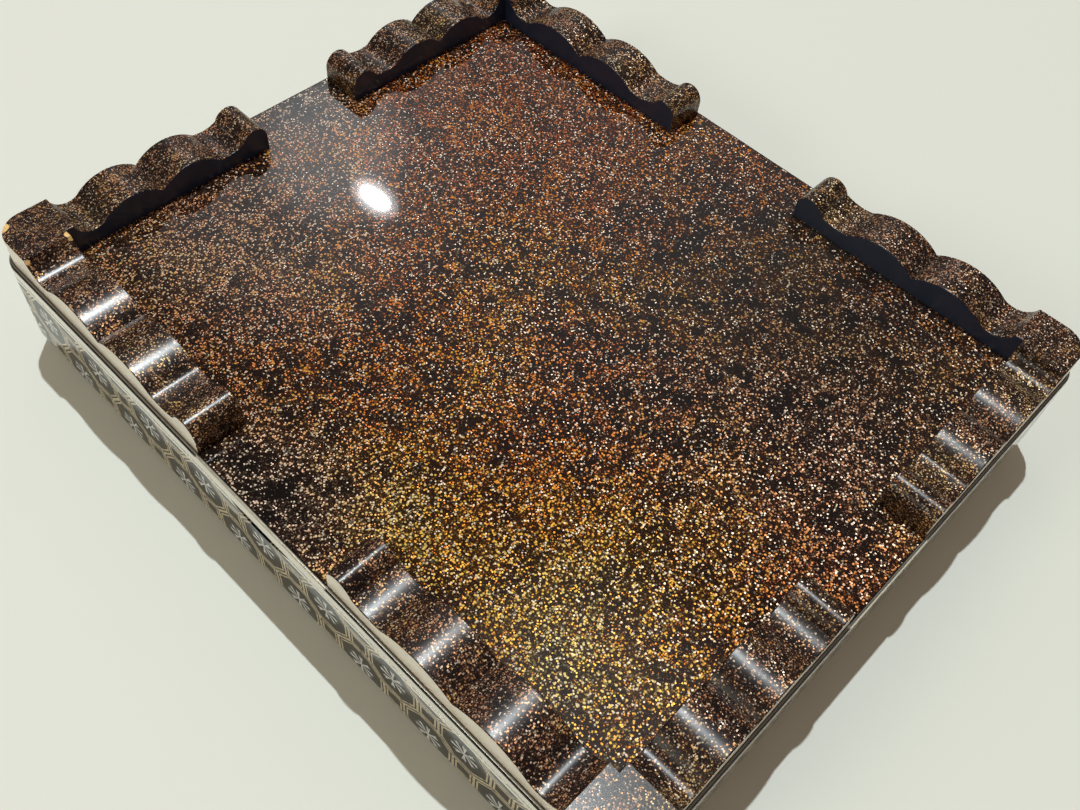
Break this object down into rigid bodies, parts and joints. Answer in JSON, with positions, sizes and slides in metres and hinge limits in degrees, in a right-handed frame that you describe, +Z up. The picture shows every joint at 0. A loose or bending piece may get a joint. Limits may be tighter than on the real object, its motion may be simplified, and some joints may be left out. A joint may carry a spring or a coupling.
{
  "type": "lacquered letter box",
  "caption": "Shallow rectangular lacquered wooden letter box with a full-depth lift-off domed lid, standing on scroll-sawn bracket feet.",
  "frame": {"origin": "centre of the footprint, on the surface that the feet stand on", "axes": "+X along the long sides, +Y from the front to the back, +Z up"},
  "size_m": [0.33, 0.28, 0.066],
  "materials": {
    "flake_lacquer": "wood under clear lacquer with dense sprinkled gold and brown flakes, high gloss",
    "patterned_lacquer": "wood under mirror-gloss black lacquer with a fine pale-gold and silver lattice pattern",
    "inside_lacquer": "wood under plain black lacquer, gloss"
  },
  "bodies": {
    "box": {"base_board": "flake_lacquer", "foot_front_left_long": "flake_lacquer", "foot_front_left_short": "flake_lacquer", "foot_front_right_long": "flake_lacquer", "foot_front_right_short": "flake_lacquer", "foot_back_left_long": "flake_lacquer", "foot_back_left_short": "flake_lacquer", "foot_back_right_long": "flake_lacquer", "foot_back_right_short": "flake_lacquer", "body_wall_front": "inside_lacquer", "body_wall_back": "inside_lacquer", "body_wall_left": "inside_lacquer", "body_wall_right": "inside_lacquer"},
    "lid": {"lid_top_board": "patterned_lacquer", "lid_skirt_front": "patterned_lacquer", "lid_skirt_back": "patterned_lacquer", "lid_skirt_left": "patterned_lacquer", "lid_skirt_right": "patterned_lacquer"}
  },
  "joints": [
    {"name": "lid_lift", "type": "slide", "parent": "box", "child": "lid", "axis": [0, 0, 1], "range_m": [0, 0.045]}
  ]
}
